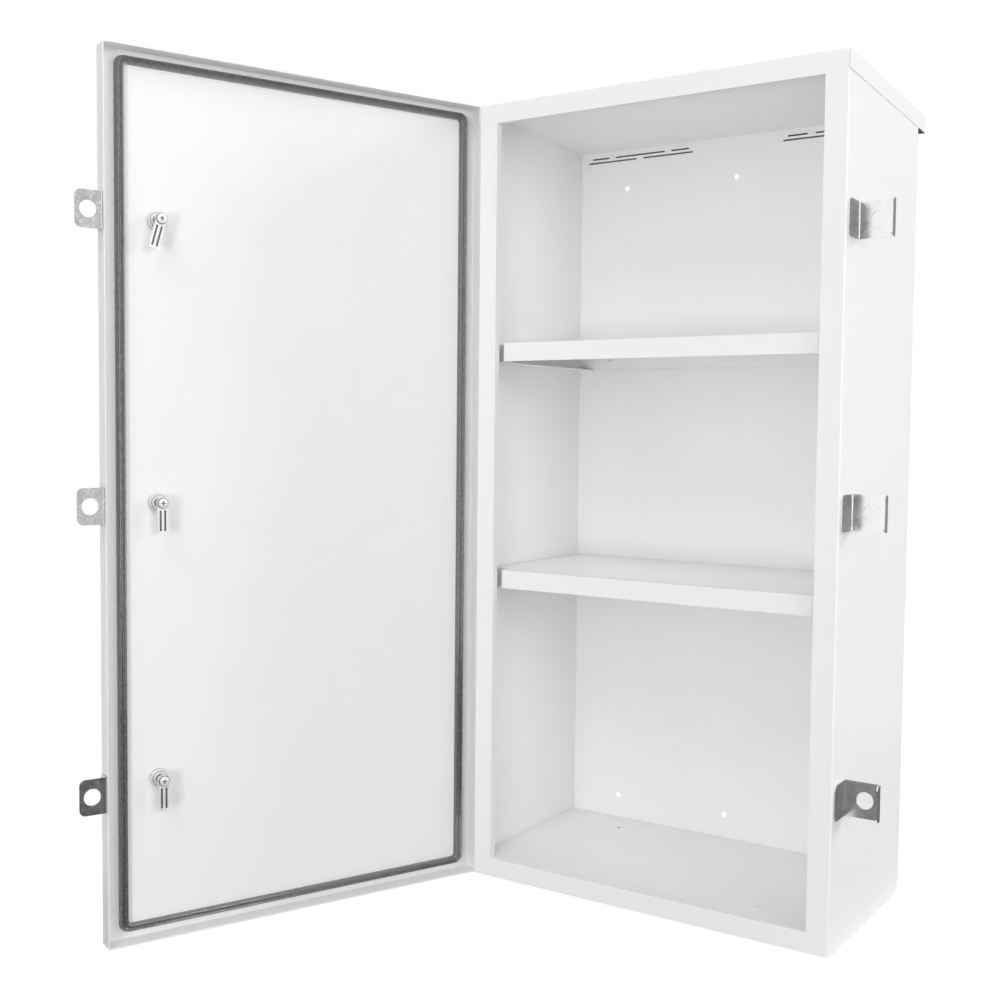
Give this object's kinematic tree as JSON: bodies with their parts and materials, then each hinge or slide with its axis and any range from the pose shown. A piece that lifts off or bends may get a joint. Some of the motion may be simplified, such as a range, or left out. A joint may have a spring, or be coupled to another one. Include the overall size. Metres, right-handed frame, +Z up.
{
  "type": "roadside utility cabinet",
  "caption": "Sheet metal roadside cabinet with an open side-hinged pan door, gasket, cam latches, padlock hasps, shelves and a sloping roof, bolted through its back.",
  "frame": {"origin": "centre of the bolt pattern in the back, on its outer face", "axes": "+Z up along the height, +Y out of the back into the wall or pole frame, +X to the right of someone facing the open front"},
  "size_m": [0.8913, 0.905, 1.212],
  "materials": {
    "case_paint": "smooth pale grey powder coat, satin",
    "shelf_paint": "smooth pale grey powder coat, satin",
    "gasket_foam": "matt closed cell foam",
    "hinge_steel": "plain rolled",
    "hasp_steel": "bright zinc plated, slightly scratched",
    "latch_plate": "bright zinc plated"
  },
  "bodies": {
    "case": {"case_shell": "case_paint", "floor_plate": "shelf_paint", "roof_cap": "case_paint", "upper_shelf": "shelf_paint", "lower_shelf": "shelf_paint", "upper_left_support": "shelf_paint", "upper_right_support": "shelf_paint", "lower_left_support": "shelf_paint", "lower_right_support": "shelf_paint", "hinge_case_leaf": "hinge_steel", "hinge_pin": "hinge_steel", "upper_case_hasp": "hasp_steel", "middle_case_hasp": "hasp_steel", "lower_case_hasp": "hasp_steel"},
    "door": {"door_pan": "case_paint", "door_gasket": "gasket_foam", "hinge_door_leaf": "hinge_steel", "upper_door_hasp": "hasp_steel", "middle_door_hasp": "hasp_steel", "lower_door_hasp": "hasp_steel", "upper_latch_housing": "latch_plate", "middle_latch_housing": "latch_plate", "lower_latch_housing": "latch_plate", "upper_latch_nut": "latch_plate", "middle_latch_nut": "latch_plate", "lower_latch_nut": "latch_plate"},
    "upper_latch": {"upper_latch_spindle": "latch_plate", "upper_latch_cam": "latch_plate", "upper_latch_screw": "latch_plate"},
    "middle_latch": {"middle_latch_spindle": "latch_plate", "middle_latch_cam": "latch_plate", "middle_latch_screw": "latch_plate"},
    "lower_latch": {"lower_latch_spindle": "latch_plate", "lower_latch_cam": "latch_plate", "lower_latch_screw": "latch_plate"}
  },
  "joints": [
    {"name": "door_hinge", "type": "hinge", "parent": "case", "child": "door", "pos_m": [-0.2959, -0.2929, 0.008], "axis": [0, 0, -1], "range_deg": [-112.4, 60]},
    {"name": "upper_latch_turn", "type": "hinge", "parent": "door", "child": "upper_latch", "pos_m": [-0.52085, -0.75602, 0.391], "axis": [-0.9245, 0.3811, 0], "range_deg": [-15.5, 74.5]},
    {"name": "middle_latch_turn", "type": "hinge", "parent": "door", "child": "middle_latch", "pos_m": [-0.52085, -0.75602, 0.007], "axis": [-0.9245, 0.3811, 0], "range_deg": [0, 90]},
    {"name": "lower_latch_turn", "type": "hinge", "parent": "door", "child": "lower_latch", "pos_m": [-0.52085, -0.75602, -0.377], "axis": [-0.9245, 0.3811, 0], "range_deg": [0, 90]}
  ]
}
